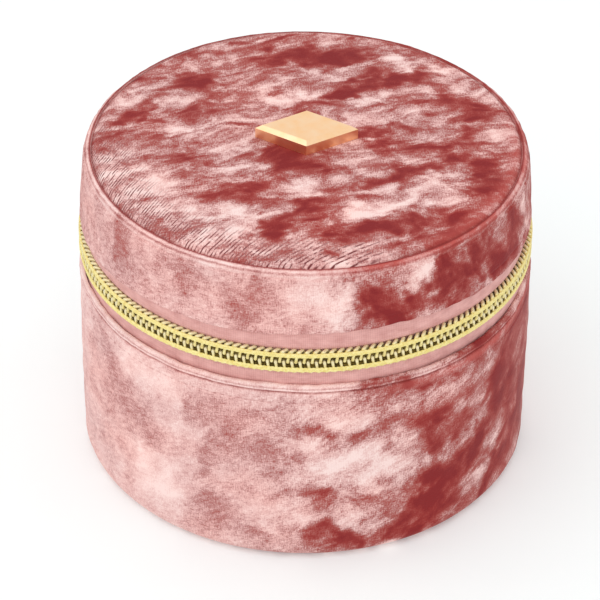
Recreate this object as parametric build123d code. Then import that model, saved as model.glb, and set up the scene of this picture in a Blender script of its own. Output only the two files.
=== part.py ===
"""Round travel jewelry case: a velvet drum with a zipped, back-hinged lid and a lift-out tray.

Millimetres. +Z is up, the front is -Y and the hinge is at +Y. The origin is the centre of the
underside. Angles called "from the back" are measured about Z from +Y, positive towards +X.
"""

import os
from math import sqrt

from build123d import *

os.makedirs("parts", exist_ok=True)

# Overall shape
BASE_R = 54.0            # outside of the base velvet
BOTTOM_CORNER_R = 3.2    # rounding of the lower edge
BASE_VELVET_TOP = 51.3   # folded top edge of the base velvet
SPLIT_Z = 58.2           # middle of the zip chain
LID_VELVET_LOW = 65.0    # folded lower edge of the lid's band
LID_LOW_R = 53.5         # band radius at its lower edge
SHOULDER_Z = 76.5        # where the band starts to round over
SHOULDER_R = 52.6
SEAM_Z = 81.4            # seam between the band and the top disc
SEAM_R = 50.7
DOME_TOP_Z = 83.0        # crown of the padded top

# Sheet thicknesses
VELVET = 0.8
BOARD = 1.8
LINING = 0.8
GAP = 0.05               # fit between curved layers of one body

# Base layers, from the outside in
BASE_FOAM_OUT = BASE_R - VELVET
BASE_BOARD_OUT = 51.8
BASE_BOARD_IN = BASE_BOARD_OUT - BOARD
BASE_LINING_IN = BASE_BOARD_IN - LINING
FLOOR_BOARD_TOP = 2.9
BASE_BOARD_TOP = 50.0
BASE_FOAM_TOP = 44.0
HEM_LOW = 44.5
FLOOR_PAD_TOP = 6.0
SUPPORT_IN = 46.0
SUPPORT_OUT = BASE_LINING_IN - 0.1

# Lid layers
LID_BOARD_OUT = 51.0
LID_BOARD_IN = 49.4
LID_LINING_IN = 48.6
LID_BOARD_LOW = 65.5
TOP_BOARD_LOW = 78.4
TOP_BOARD_HIGH = 80.0
TOP_BOARD_R = 50.2
TOP_COVER_R = 50.25
TAPE_TOP = 69.0

# Zip
TAPE_IN = 52.1
TAPE_OUT = 52.6
TAPE_LOW = 45.5
COIL_OUT = 54.4
COIL_HALF = 3.0          # half the chain's width
COIL_INNER = 0.7         # from the chain's middle to each coil
TAPE_INNER = 1.0         # from the chain's middle to each tape's edge
HINGE_HALF_DEG = 27.0
TAPE_START_DEG = 27.5
STOP_DEG = 30.0          # end stops, from the back
STOP_HALF_DEG = 0.8
COIL_START_DEG = 31.0
TAIL_END_DEG = 49.0      # the chain's ends up to here stay with the base
TAIL_GAP_DEG = 0.4
TAIL_TAPE_TOP = 63.0
CLEAR = 0.5
HINGE_GAP = 0.15
HINGE_STRIP_OUT = 53.1
HINGE_LINING_IN = 51.3

# Slider and pull
SLIDER_DEG = 39.0        # parked beside the hinge, from the back
SLIDER_HALF_DEG = 5.8
SLIDER_HALF_WIDTH = 4.3
PLATE = 1.0
SLIDE_CLEAR = 0.2
INNER_PLATE_OUT = TAPE_IN - SLIDE_CLEAR
OUTER_PLATE_IN = COIL_OUT + SLIDE_CLEAR
OUTER_PLATE_OUT = OUTER_PLATE_IN + PLATE
BRIDGE_R = 58.4          # distance of the bridge bar from the case's axis
BRIDGE_BAR_R = 0.5
BRIDGE_HALF = 4.6
BRIDGE_LEG = 1.2
LINK_R = 1.9
LINK_WIRE_R = 0.45
LINK_DROP = 0.8          # link's centre below the bar
TAB_TOP = 57.2
TAB_LENGTH = 25.0
TAB_TOP_HALF = 2.4
TAB_LOW_HALF = 3.2
TAB_THICK = 1.2
TAB_HOLE_R = 1.1
TAB_HOLE_Z = 55.05

# Mirror and its frame
MIRROR_R = 37.5
MIRROR_WINDOW_R = 36.0
MIRROR_LOW = 76.4
MIRROR_HIGH = 77.9
FRAME_LOW = 75.2

# Top ornament
BADGE_HALF_LENGTH = 12.0
BADGE_HALF_WIDTH = 7.5
BADGE_HEIGHT = 3.4
BADGE_BEVEL = 0.9
POST_X = 5.0
POST_R = 0.8
POST_HOLE_R = POST_R + GAP
WASHER_R = 2.4

# Tray
TRAY_LOW = 38.0
TRAY_HIGH = 52.4
TRAY_OUT = 47.8
TRAY_IN = 46.2
TRAY_FLOOR = 1.6
ROLL_R = 4.75
ROLL_PITCH = 9.8
ROLL_COUNT = 4
FIRST_ROLL_Y = 7.4
DIVIDER = 1.6
DIVIDER_Y = 1.2
DIVIDER_TOP = 51.0
COMPARTMENT_X = 15.0
LOOP_DEG = 20.0          # lift loops, forward of the X axis
LOOP_HALF_DEG = 5.0
LOOP_LOW = 44.0
LOOP_HIGH = 54.3
LOOP_THICK = 0.5

BACK_DEG = 90.0          # +Y, counted from +X


def save(shape, name):
    shape.label = name
    export_step(shape, f"parts/{name}.step")


def turn(profile, middle_deg=0.0, half_deg=180.0):
    """Solid of revolution about Z of a closed (radius, height) outline."""
    face = make_face(Plane.XZ * profile)
    solid = revolve(face, Axis.Z, 2 * half_deg)
    return Rot(0, 0, middle_deg - half_deg) * solid


def outline(*points):
    return Polyline(*points, close=True)


def ring(r_in, r_out, low, high, middle_deg=0.0, half_deg=180.0):
    corners = outline((r_in, low), (r_out, low), (r_out, high), (r_in, high))
    return turn(corners, middle_deg, half_deg)


def disc(radius, low, high):
    return Pos(0, 0, (low + high) / 2) * Cylinder(radius, high - low)


def front_sector(r_in, r_out, low, high, start_deg):
    """Ring sector that runs round the front, leaving start_deg free each side of the back."""
    return ring(r_in, r_out, low, high, BACK_DEG + 180, 180 - start_deg)


def back_sector(r_in, r_out, low, high, half_deg):
    return ring(r_in, r_out, low, high, BACK_DEG, half_deg)


def side_pair(r_in, r_out, low, high, start_deg, end_deg):
    """Two mirrored sectors between two angles from the back."""
    middle = (start_deg + end_deg) / 2
    half = (end_deg - start_deg) / 2
    right = ring(r_in, r_out, low, high, BACK_DEG - middle, half)
    left = ring(r_in, r_out, low, high, BACK_DEG + middle, half)
    return Compound([right, left])


def band_radius(z):
    """Outside radius of the lid's tapering band."""
    share = (z - LID_VELVET_LOW) / (SHOULDER_Z - LID_VELVET_LOW)
    return LID_LOW_R + (SHOULDER_R - LID_LOW_R) * share


def dome_arc(edge_z, crown_z, radius):
    """Shallow arc in the (radius, height) plane from the rim to the axis."""
    rise = crown_z - edge_z
    sphere_r = (radius**2 + rise**2) / (2 * rise)
    middle = radius / 2
    middle_z = crown_z - sphere_r + sqrt(sphere_r**2 - middle**2)
    return ThreePointArc((radius, edge_z), (middle, middle_z), (0, crown_z))


def post_holes(solid, radius):
    for x in (-POST_X, POST_X):
        solid -= Pos(x, 0, DOME_TOP_Z) * Cylinder(radius, 20)
    return solid


# ---- base ----

def base_side_velvet():
    """Side cover: turned under at the bottom, doubled at its folded top edge."""
    r = BOTTOM_CORNER_R
    lift = 0.1
    centre = (BASE_R - r, r + lift)
    inner = r - VELVET
    slant = sqrt(0.5)
    hem_in = TAPE_OUT + GAP
    fold = 0.6
    low = (centre[0], lift)
    side = (BASE_R, centre[1])
    inner_side = (BASE_FOAM_OUT, centre[1])
    inner_low = (centre[0], lift + VELVET)
    wire = ThreePointArc(low, (centre[0] + r * slant, centre[1] - r * slant), side)
    wire += Line(side, (BASE_R, BASE_VELVET_TOP - fold))
    wire += Line((BASE_R, BASE_VELVET_TOP - fold), (BASE_R - fold, BASE_VELVET_TOP))
    wire += Polyline(
        (BASE_R - fold, BASE_VELVET_TOP),
        (hem_in, BASE_VELVET_TOP),
        (hem_in, HEM_LOW),
        (BASE_FOAM_OUT, HEM_LOW),
        inner_side,
    )
    bend = (centre[0] + inner * slant, centre[1] - inner * slant)
    wire += ThreePointArc(inner_side, bend, inner_low)
    wire += Line(inner_low, low)
    return turn(wire)


def base_wall_lining():
    """Lining of the wall, turned out over the board's top edge to the zip tape."""
    top = BASE_BOARD_TOP + LINING
    return turn(outline(
        (BASE_LINING_IN, FLOOR_BOARD_TOP),
        (BASE_BOARD_IN, FLOOR_BOARD_TOP),
        (BASE_BOARD_IN, BASE_BOARD_TOP),
        (TAPE_IN - GAP, BASE_BOARD_TOP),
        (TAPE_IN - GAP, top),
        (BASE_LINING_IN, top),
    ))


def hinge_strip(hidden_z, edge_z, split_z):
    """Half of the fabric hinge: thin where it is sewn in, thicker where it shows."""
    return turn(outline(
        (TAPE_IN, hidden_z),
        (TAPE_OUT, hidden_z),
        (TAPE_OUT, edge_z),
        (HINGE_STRIP_OUT, edge_z),
        (HINGE_STRIP_OUT, split_z),
        (TAPE_IN, split_z),
    ), BACK_DEG, HINGE_HALF_DEG)


def make_base():
    floor_r = BASE_R - BOTTOM_CORNER_R - 0.1
    save(disc(floor_r, 0, VELVET), "base_bottom_velvet")
    save(base_side_velvet(), "base_side_velvet")
    save(ring(BASE_BOARD_OUT, BASE_FOAM_OUT, BOTTOM_CORNER_R + 0.1, BASE_FOAM_TOP), "base_side_foam")
    save(ring(BASE_BOARD_IN, BASE_BOARD_OUT, FLOOR_BOARD_TOP, BASE_BOARD_TOP), "base_wall_board")
    save(disc(floor_r, VELVET, FLOOR_BOARD_TOP), "base_floor_board")
    save(base_wall_lining(), "base_wall_lining")
    save(disc(SUPPORT_IN - 0.1, FLOOR_BOARD_TOP, FLOOR_PAD_TOP), "base_floor_pad")
    save(ring(SUPPORT_IN, SUPPORT_OUT, FLOOR_BOARD_TOP, TRAY_LOW), "tray_support_ring")
    lower = hinge_strip(TAPE_LOW, BASE_VELVET_TOP + 0.1, SPLIT_Z - HINGE_GAP)
    save(lower, "hinge_strip_lower")
    low = BASE_BOARD_TOP + LINING + GAP
    lining = back_sector(HINGE_LINING_IN, TAPE_IN - GAP, low, SPLIT_Z - HINGE_GAP, HINGE_HALF_DEG)
    save(lining, "hinge_lining_lower")


# ---- zip ----

def make_zip():
    tape_edge = SPLIT_Z - TAPE_INNER
    save(front_sector(TAPE_IN, TAPE_OUT, TAPE_LOW, tape_edge, TAPE_START_DEG), "lower_zip_tape")
    low, high = SPLIT_Z - COIL_HALF, SPLIT_Z - COIL_INNER
    save(front_sector(TAPE_OUT, COIL_OUT, low, high, COIL_START_DEG), "lower_zip_coil")

    tape_low = SPLIT_Z + TAPE_INNER
    lid_start = TAIL_END_DEG + TAIL_GAP_DEG
    upper = front_sector(TAPE_IN, TAPE_OUT, tape_low, TAPE_TOP, lid_start)
    strip_low = TAIL_TAPE_TOP + CLEAR
    upper += front_sector(TAPE_IN, TAPE_OUT, strip_low, TAPE_TOP, TAPE_START_DEG)
    save(upper, "upper_zip_tape")
    low, high = SPLIT_Z + COIL_INNER, SPLIT_Z + COIL_HALF
    save(front_sector(TAPE_OUT, COIL_OUT, low, high, lid_start), "upper_zip_coil")

    tail_tape = side_pair(TAPE_IN, TAPE_OUT, tape_low, TAIL_TAPE_TOP, TAPE_START_DEG, TAIL_END_DEG)
    save(tail_tape, "zip_tail_tapes")
    save(side_pair(TAPE_OUT, COIL_OUT, low, high, COIL_START_DEG, TAIL_END_DEG), "zip_tail_coils")
    start, end = STOP_DEG - STOP_HALF_DEG, STOP_DEG + STOP_HALF_DEG
    reach = COIL_HALF - 0.4
    save(
        side_pair(TAPE_OUT, COIL_OUT + 0.2, SPLIT_Z - reach, SPLIT_Z + reach, start, end),
        "zip_end_stops",
    )


# ---- lid ----

def lid_side_velvet():
    """Band: folded hem below, slight taper, rounded shoulder up to the seam."""
    hem_in = TAPE_OUT + GAP
    hem_top = TAPE_TOP + 0.2
    fold = 0.4
    bulge = (52.15, 79.3)
    inner_bulge = (51.4, 78.9)
    seam_in = (TOP_BOARD_R + 0.15, SEAM_Z - 0.65)
    wire = Polyline(
        (hem_in, LID_VELVET_LOW),
        (LID_LOW_R - fold, LID_VELVET_LOW),
        (band_radius(LID_VELVET_LOW + fold), LID_VELVET_LOW + fold),
        (SHOULDER_R, SHOULDER_Z),
    )
    wire += ThreePointArc((SHOULDER_R, SHOULDER_Z), bulge, (SEAM_R, SEAM_Z))
    wire += Line((SEAM_R, SEAM_Z), seam_in)
    wire += ThreePointArc(seam_in, inner_bulge, (SHOULDER_R - VELVET, SHOULDER_Z))
    wire += Polyline(
        (SHOULDER_R - VELVET, SHOULDER_Z),
        (band_radius(hem_top) - VELVET, hem_top),
        (hem_in, hem_top),
        (hem_in, LID_VELVET_LOW),
    )
    return turn(wire)


def lid_side_foam():
    low = TAPE_TOP + 0.3
    return turn(outline(
        (LID_BOARD_OUT, low),
        (band_radius(low) - VELVET - GAP, low),
        (SHOULDER_R - VELVET - GAP, SHOULDER_Z),
        (LID_BOARD_OUT + 0.3, TOP_BOARD_LOW),
        (LID_BOARD_OUT, TOP_BOARD_LOW),
    ))


def lid_wall_lining():
    low = LID_BOARD_LOW - LINING
    return turn(outline(
        (LID_LINING_IN, low),
        (TAPE_IN - GAP, low),
        (TAPE_IN - GAP, LID_BOARD_LOW),
        (LID_BOARD_IN, LID_BOARD_LOW),
        (LID_BOARD_IN, TOP_BOARD_LOW),
        (LID_LINING_IN, TOP_BOARD_LOW),
    ))


def top_velvet():
    rim_low, rim_high = SEAM_Z - 0.75, SEAM_Z - GAP
    crown_low = DOME_TOP_Z - VELVET
    upper = dome_arc(rim_high, DOME_TOP_Z, TOP_COVER_R)
    lower = dome_arc(rim_low, crown_low, TOP_COVER_R)
    sides = Line((TOP_COVER_R, rim_low), (TOP_COVER_R, rim_high))
    middle = Line((0, crown_low), (0, DOME_TOP_Z))
    return post_holes(turn(upper + lower + sides + middle), POST_HOLE_R)


def top_foam():
    rim = SEAM_Z - 0.75
    crown = DOME_TOP_Z - VELVET
    wire = dome_arc(rim, crown, TOP_BOARD_R)
    wire += Polyline((TOP_BOARD_R, rim), (TOP_BOARD_R, TOP_BOARD_HIGH), (0, TOP_BOARD_HIGH), (0, crown))
    return post_holes(turn(wire), POST_HOLE_R)


def mirror_frame():
    """Padded ring that holds the mirror's edge against the lid."""
    outer = LID_LINING_IN - GAP
    step = MIRROR_LOW - GAP
    return turn(outline(
        (MIRROR_WINDOW_R, FRAME_LOW),
        (outer, FRAME_LOW),
        (outer, TOP_BOARD_LOW),
        (MIRROR_R + 0.1, TOP_BOARD_LOW),
        (MIRROR_R + 0.1, step),
        (MIRROR_WINDOW_R, step),
    ))


def badge():
    """Plain lozenge plaque with a bevelled top."""
    lozenge = outline(
        (-BADGE_HALF_LENGTH, 0),
        (0, -BADGE_HALF_WIDTH),
        (BADGE_HALF_LENGTH, 0),
        (0, BADGE_HALF_WIDTH),
    )
    plaque = extrude(make_face(lozenge), BADGE_HEIGHT)
    plaque = chamfer(plaque.faces().sort_by(Axis.Z)[-1].edges(), BADGE_BEVEL)
    return Pos(0, 0, DOME_TOP_Z) * plaque


def make_lid():
    upper = hinge_strip(TAPE_TOP, LID_VELVET_LOW - 0.1, SPLIT_Z + HINGE_GAP)
    save(upper, "hinge_strip_upper")
    high = LID_BOARD_LOW - LINING - GAP
    lining = back_sector(HINGE_LINING_IN, TAPE_IN - GAP, SPLIT_Z + HINGE_GAP, high, HINGE_HALF_DEG)
    save(lining, "hinge_lining_upper")
    save(lid_side_velvet(), "lid_side_velvet")
    save(lid_side_foam(), "lid_side_foam")
    save(ring(LID_BOARD_IN, LID_BOARD_OUT, LID_BOARD_LOW, TOP_BOARD_LOW), "lid_wall_board")
    save(lid_wall_lining(), "lid_wall_lining")
    board = post_holes(disc(TOP_BOARD_R, TOP_BOARD_LOW, TOP_BOARD_HIGH), POST_HOLE_R)
    save(board, "lid_top_board")
    save(top_foam(), "lid_top_foam")
    save(top_velvet(), "lid_top_velvet")
    save(mirror_frame(), "mirror_frame")
    save(disc(MIRROR_R, MIRROR_LOW, MIRROR_HIGH), "mirror_glass")
    backing = post_holes(disc(MIRROR_R, MIRROR_HIGH, TOP_BOARD_LOW), WASHER_R + 0.1)
    save(backing, "mirror_backing")
    save(badge(), "top_badge")
    posts, washers = [], []
    for x in (-POST_X, POST_X):
        length = DOME_TOP_Z - MIRROR_HIGH
        posts.append(Pos(x, 0, DOME_TOP_Z - length / 2) * Cylinder(POST_R, length))
        washers.append(Pos(x, 0, 0) * ring(POST_HOLE_R, WASHER_R, MIRROR_HIGH, TOP_BOARD_LOW))
    save(Compound(posts), "badge_posts")
    save(Compound(washers), "badge_washers")


# ---- slider and pull, built facing +X and then turned to their place ----

def slider_body():
    low, high = SPLIT_Z - SLIDER_HALF_WIDTH, SPLIT_Z + SLIDER_HALF_WIDTH
    inner = ring(INNER_PLATE_OUT - PLATE, INNER_PLATE_OUT, low, high, 0, SLIDER_HALF_DEG)
    outer = ring(OUTER_PLATE_IN, OUTER_PLATE_OUT, low, high, 0, SLIDER_HALF_DEG)
    web_half = 0.4
    web = ring(
        INNER_PLATE_OUT - PLATE / 2, OUTER_PLATE_IN + PLATE / 2,
        SPLIT_Z - web_half, SPLIT_Z + web_half, 0, SLIDER_HALF_DEG / 2,
    )
    body = inner + outer + web
    flange = SLIDER_HALF_WIDTH - COIL_HALF - 0.25
    flange_in = TAPE_OUT + 0.25
    for edge in (low, high - flange):
        body += ring(flange_in, OUTER_PLATE_IN + PLATE / 2, edge, edge + flange, 0, SLIDER_HALF_DEG)
    return body


def slider_bridge():
    """Bar along the chain with a leg at each end."""
    bar = Pos(BRIDGE_R, 0, SPLIT_Z) * Rot(90, 0, 0) * Cylinder(BRIDGE_BAR_R, 2 * BRIDGE_HALF - 0.4)
    leg_high = BRIDGE_R + BRIDGE_BAR_R
    for side in (-1, 1):
        y = side * (BRIDGE_HALF - BRIDGE_LEG / 2)
        height = leg_high - OUTER_PLATE_OUT
        leg = Box(height, BRIDGE_LEG, 2 * BRIDGE_BAR_R)
        bar += Pos(OUTER_PLATE_OUT + height / 2, y, SPLIT_Z) * leg
    return bar


def pull_tab():
    low = TAB_TOP - TAB_LENGTH
    face = make_face(Plane.YZ * outline(
        (-TAB_TOP_HALF, TAB_TOP),
        (TAB_TOP_HALF, TAB_TOP),
        (TAB_LOW_HALF, low),
        (-TAB_LOW_HALF, low),
    ))
    face = fillet(face.vertices(), 1.6)
    tab = extrude(face, TAB_THICK / 2, both=True)
    tab -= Pos(0, 0, TAB_HOLE_Z) * Rot(0, 90, 0) * Cylinder(TAB_HOLE_R, 10)
    return Pos(BRIDGE_R, 0, 0) * tab


def make_slider():
    place = Rot(0, 0, BACK_DEG - SLIDER_DEG)
    link = Pos(BRIDGE_R, 0, SPLIT_Z - LINK_DROP) * Rot(90, 0, 0) * Torus(LINK_R, LINK_WIRE_R)
    save(place * slider_body(), "slider_body")
    save(place * slider_bridge(), "slider_bridge")
    save(place * link, "pull_link")
    save(place * pull_tab(), "pull_tab")


# ---- tray ----

def within_tray(solid):
    return solid & disc(TRAY_IN - GAP, TRAY_LOW, TRAY_HIGH + TRAY_OUT)


def ring_roll(y):
    """Padded roll along X, as long as the tray is wide at that place."""
    far = y + ROLL_R
    half = sqrt(TRAY_IN**2 - far**2) - 0.8
    z = TRAY_LOW + TRAY_FLOOR + VELVET + ROLL_R
    return Pos(0, y, z) * Rot(0, 90, 0) * Cylinder(ROLL_R, 2 * half)


def make_tray():
    floor_top = TRAY_LOW + TRAY_FLOOR
    pad_top = floor_top + VELVET
    save(ring(TRAY_IN, TRAY_OUT, TRAY_LOW, TRAY_HIGH), "tray_wall")
    save(disc(TRAY_IN - GAP, TRAY_LOW, floor_top), "tray_floor")
    save(disc(TRAY_IN - GAP, floor_top, pad_top), "tray_floor_lining")
    height = DIVIDER_TOP - pad_top
    middle_z = pad_top + height / 2
    cross = Pos(0, DIVIDER_Y, middle_z) * Box(2 * TRAY_IN, DIVIDER, height)
    save(within_tray(cross), "tray_divider_cross")
    length = TRAY_IN + DIVIDER_Y - DIVIDER / 2 - GAP
    for name, x in (("left", -COMPARTMENT_X), ("right", COMPARTMENT_X)):
        wall = Pos(x, length / 2 - TRAY_IN, middle_z) * Box(DIVIDER, length, height)
        save(within_tray(wall), f"tray_divider_{name}")
    for number in range(ROLL_COUNT):
        save(ring_roll(FIRST_ROLL_Y + number * ROLL_PITCH), f"ring_roll_{number + 1}")
    loop_in = TRAY_IN - GAP - LOOP_THICK
    loops = [
        ring(loop_in, TRAY_IN - GAP, LOOP_LOW, LOOP_HIGH, middle, LOOP_HALF_DEG)
        for middle in (-LOOP_DEG, 180 + LOOP_DEG)
    ]
    save(Compound(loops), "tray_lift_loops")


make_base()
make_zip()
make_lid()
make_slider()
make_tray()
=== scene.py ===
"""Looks of the round crushed-velvet jewelry case, built around its CAD frame.

Shapes are worked out in millimetres and written to Blender in metres, in the CAD's own frame.
An angle called "turn" is measured about Z from the front (-Y), positive towards +X.
"""

import math

import bpy
import numpy as np
from mathutils import Matrix, Vector


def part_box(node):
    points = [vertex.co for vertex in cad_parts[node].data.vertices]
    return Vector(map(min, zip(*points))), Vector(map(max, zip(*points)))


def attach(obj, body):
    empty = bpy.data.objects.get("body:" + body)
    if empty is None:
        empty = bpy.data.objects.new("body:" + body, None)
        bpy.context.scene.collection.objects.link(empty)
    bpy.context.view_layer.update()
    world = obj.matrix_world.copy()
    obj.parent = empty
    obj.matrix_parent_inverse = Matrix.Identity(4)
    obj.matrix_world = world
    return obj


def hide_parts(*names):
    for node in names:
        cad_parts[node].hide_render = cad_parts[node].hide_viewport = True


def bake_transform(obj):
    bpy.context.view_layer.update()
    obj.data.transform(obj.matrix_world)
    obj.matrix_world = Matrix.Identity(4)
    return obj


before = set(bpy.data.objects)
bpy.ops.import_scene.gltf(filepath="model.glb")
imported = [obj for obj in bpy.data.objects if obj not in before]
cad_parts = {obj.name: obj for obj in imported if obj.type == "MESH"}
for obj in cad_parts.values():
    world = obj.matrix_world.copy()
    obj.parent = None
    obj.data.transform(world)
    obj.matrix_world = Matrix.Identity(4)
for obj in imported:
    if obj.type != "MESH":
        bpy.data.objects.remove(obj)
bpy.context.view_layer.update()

MM = 0.001
PI = math.pi


# ---- sizes, read from the frame ----

def corners(node):
    """Lowest and highest corner of a CAD node, in millimetres."""
    low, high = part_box(node)
    return low / MM, high / MM


def heights(node):
    return [corner.z for corner in corners(node)]


BASE_R = round(corners("base_side_velvet")[1].x, 1)
BASE_TOP = heights("base_side_velvet")[1]
BAND_LOW, SEAM_Z = heights("lid_side_velvet")
BAND_R, SHOULDER_R, SEAM_R = 53.5, 52.6, 50.7
SHOULDER_Z = BAND_LOW + 11.5
SKIN = 0.8
DOME_TOP = heights("lid_top_velvet")[1]
TAPE_R = corners("lower_zip_tape")[1].x
TAPE_LOW = heights("lower_zip_tape")[0]
TAPE_HIGH = heights("upper_zip_tape")[1]
CHAIN_TOP = heights("upper_zip_coil")[1]
SPLIT_Z = (heights("lower_zip_coil")[0] + CHAIN_TOP) / 2
CHAIN_HALF = CHAIN_TOP - SPLIT_Z
HINGE_R = 53.0
HINGE_HALF = math.asin(corners("hinge_strip_lower")[1].x / (HINGE_R + 0.1))


# ---- mesh helpers ----

def ripple(seed, size, count=20):
    """Smooth random function of (u, v) in mm, about -1 to 1, with waves of about that size."""
    rng = np.random.RandomState(seed)
    direction = rng.uniform(0, 2 * PI, count)
    length = size * rng.uniform(0.6, 1.8, count)
    phase = rng.uniform(0, 2 * PI, count)
    ku = 2 * PI * np.cos(direction) / length
    kv = 2 * PI * np.sin(direction) / length

    def value(u, v):
        total = np.zeros(np.broadcast(u, v).shape)
        for a, b, c in zip(ku, kv, phase):
            total += np.sin(a * u + b * v + c)
        return total / math.sqrt(count)

    return value


def bump(x, centre, width):
    return np.exp(-(((x - centre) / width) ** 2))


def smoothstep(x, low, high):
    t = np.clip((x - low) / (high - low), 0, 1)
    return t * t * (3 - 2 * t)


def arc_length(x, y, radius):
    """Distance round the drum from the front, in mm."""
    return np.arctan2(x, -y) * radius


def put_in_scene(name, data):
    made = bpy.data.objects.new(name, data)
    bpy.context.scene.collection.objects.link(made)
    return made


def new_object(name, points, faces, uvs=None):
    """Mesh from points in mm; uvs are per face corner, in mm of cloth."""
    mesh = bpy.data.meshes.new(name)
    mesh.from_pydata((np.asarray(points, float) * MM).tolist(), [], faces)
    if uvs is not None:
        layer = mesh.uv_layers.new(name="cloth")
        layer.data.foreach_set("uv", np.asarray(uvs, np.float32).ravel())
    mesh.polygons.foreach_set("use_smooth", [True] * len(mesh.polygons))
    mesh.validate()
    mesh.update()
    return put_in_scene(name, mesh)


def grid_faces(columns, rows, wrap_columns, wrap_rows):
    """Quads of a grid whose point (k, j) has index k * rows + j."""
    k = np.arange(columns if wrap_columns else columns - 1)
    j = np.arange(rows if wrap_rows else rows - 1)
    k, j = np.meshgrid(k, j, indexing="ij")
    k2, j2 = (k + 1) % columns, (j + 1) % rows
    quads = np.stack([k * rows + j, k2 * rows + j, k2 * rows + j2, k * rows + j2], -1)
    return quads.reshape(-1, 4), k.ravel(), j.ravel()


def end_caps(columns, rows, base=0):
    """Point numbers round the first and the last column of a grid."""
    first = list(range(base, base + rows))
    return first, [(columns - 1) * rows + i for i in first]


def store(piece, name, values):
    """One value at each vertex, for the materials."""
    made = piece.data.attributes.new(name, "FLOAT", "POINT")
    made.data.foreach_set("value", np.asarray(values, np.float32))


def lathe(name, profile, mean, shift, steps=360, turn=(-PI, PI)):
    """Closed (radius, height) loop turned about Z; its cloth coordinates are arc length at the
    mean radius and length along the profile.

    shift(angle, radius, height, along) returns changes of radius and height.
    """
    profile = np.asarray(profile, float)
    rows = len(profile)
    full = turn[1] - turn[0] > 2 * PI - 1e-6
    columns = steps if full else steps + 1
    angles = np.linspace(turn[0], turn[1], steps + 1)[:columns]
    gaps = np.linalg.norm(np.diff(np.vstack([profile, profile[:1]]), axis=0), axis=1)
    along = np.concatenate([[0], np.cumsum(gaps)])
    a = np.repeat(angles, rows)
    r = np.tile(profile[:, 0], columns)
    z = np.tile(profile[:, 1], columns)
    s = np.tile(along[:-1], columns)
    dr, dz = shift(a, r, z, s)
    points = around(a, r + dr, z + dz)
    quads, k, j = grid_faces(columns, rows, full, True)
    width = (turn[1] - turn[0]) / steps * mean
    u = np.stack([k * width, (k + 1) * width, (k + 1) * width, k * width], -1) + turn[0] * mean
    v = np.stack([along[j], along[j], along[j + 1], along[j + 1]], -1)
    faces = quads.tolist()
    uvs = np.stack([u, v], -1).reshape(-1, 2).tolist()
    if not full:
        first, last = end_caps(columns, rows)
        faces += [first[::-1], last]
        uvs += [[0, 0]] * (2 * rows)
    return new_object(name, points, faces, uvs)


def disc_mesh(name, radius, height, rings=60, steps=240, thickness=0.8):
    """Closed round pad; height(x, y, share_of_radius) is its upper surface."""
    share = np.linspace(0, 1, rings + 1)[1:]
    share = np.sin(share * PI / 2) ** 0.9
    share[-1] = 1
    a = circle(steps, -PI)
    sa, ss = np.meshgrid(a, share, indexing="ij")
    x, y = (radius * ss * np.sin(sa)).ravel(), (-radius * ss * np.cos(sa)).ravel()
    top = np.stack([x, y, height(x, y, ss.ravel())], -1)
    middle = np.zeros(1)
    centre = np.array([[0, 0, height(middle, middle, middle)[0]]])
    low = top - [0, 0, thickness]
    points = np.vstack([centre, centre - [0, 0, thickness], top, low])
    n = len(share)
    half = steps * n
    quads = grid_faces(steps, n, True, False)[0]
    faces = [[2 + i for i in q] for q in quads[:, ::-1].tolist()]
    faces += [[2 + half + i for i in q] for q in quads.tolist()]
    for k in range(steps):
        here, there = k * n, (k + 1) % steps * n
        faces.append([0, 2 + here, 2 + there])
        faces.append([1, 2 + half + there, 2 + half + here])
        rim, rim2 = 2 + here + n - 1, 2 + there + n - 1
        faces.append([rim, rim + half, rim2 + half, rim2])
    uvs = [points[i, :2] for f in faces for i in f]
    return new_object(name, points, faces, uvs)


def tube(name, paths, sides=8):
    """Tubes along paths: each (n, 3) mm points, (n,) radii and perhaps (n,) "pale" values of painted
    highlight.
    """
    pale = []
    all_points, all_faces, base = [], [], 0
    turn = circle(sides)
    for path, radius, *value in paths:
        path = np.asarray(path, float)
        n = len(path)
        pale.append(np.repeat(value[0] if value else np.zeros(n), sides))
        tangent = np.gradient(path, axis=0)
        tangent /= np.linalg.norm(tangent, axis=1)[:, None] + 1e-12
        normal = np.zeros_like(path)
        seed = np.array([0, 0, 1.0]) if abs(tangent[0][2]) < 0.9 else np.array([1.0, 0, 0])
        v = seed - tangent[0] * (seed @ tangent[0])
        for i in range(n):
            v = v - tangent[i] * (v @ tangent[i])
            v /= np.linalg.norm(v) + 1e-12
            normal[i] = v
        side = np.cross(tangent, normal)
        radius = np.broadcast_to(np.asarray(radius, float), (n,))
        ring = (
            path[:, None, :]
            + radius[:, None, None] * np.cos(turn)[None, :, None] * normal[:, None, :]
            + radius[:, None, None] * np.sin(turn)[None, :, None] * side[:, None, :]
        )
        quads = grid_faces(n, sides, False, True)[0]
        all_points.append(ring.reshape(-1, 3))
        all_faces += (quads[:, ::-1] + base).tolist()
        all_faces += [row[::step] for row, step in zip(end_caps(n, sides, base), (1, -1))]
        base += n * sides
    made = new_object(name, np.vstack(all_points), all_faces)
    store(made, "pale", np.concatenate(pale))
    return made


def around(turn, r, z):
    """Points on the drum from turn angle, radius and height, in mm."""
    turn, r, z = np.broadcast_arrays(turn, r, z)
    return np.stack([r * np.sin(turn), -r * np.cos(turn), z], -1)


def upright(radius, z):
    """Upright line of a profile, at this radius."""
    return np.stack([np.full_like(z, radius), z], -1)


def circle(steps, start=0.0):
    """Angles once round, the last left out."""
    return np.linspace(start, start + 2 * PI, steps + 1)[:-1]


def arc_points(centre, radius, start_deg, end_deg, count):
    a = np.radians(np.linspace(start_deg, end_deg, count))
    return np.stack([centre[0] + radius * np.cos(a), centre[1] + radius * np.sin(a)], -1)


# ---- materials ----

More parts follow.
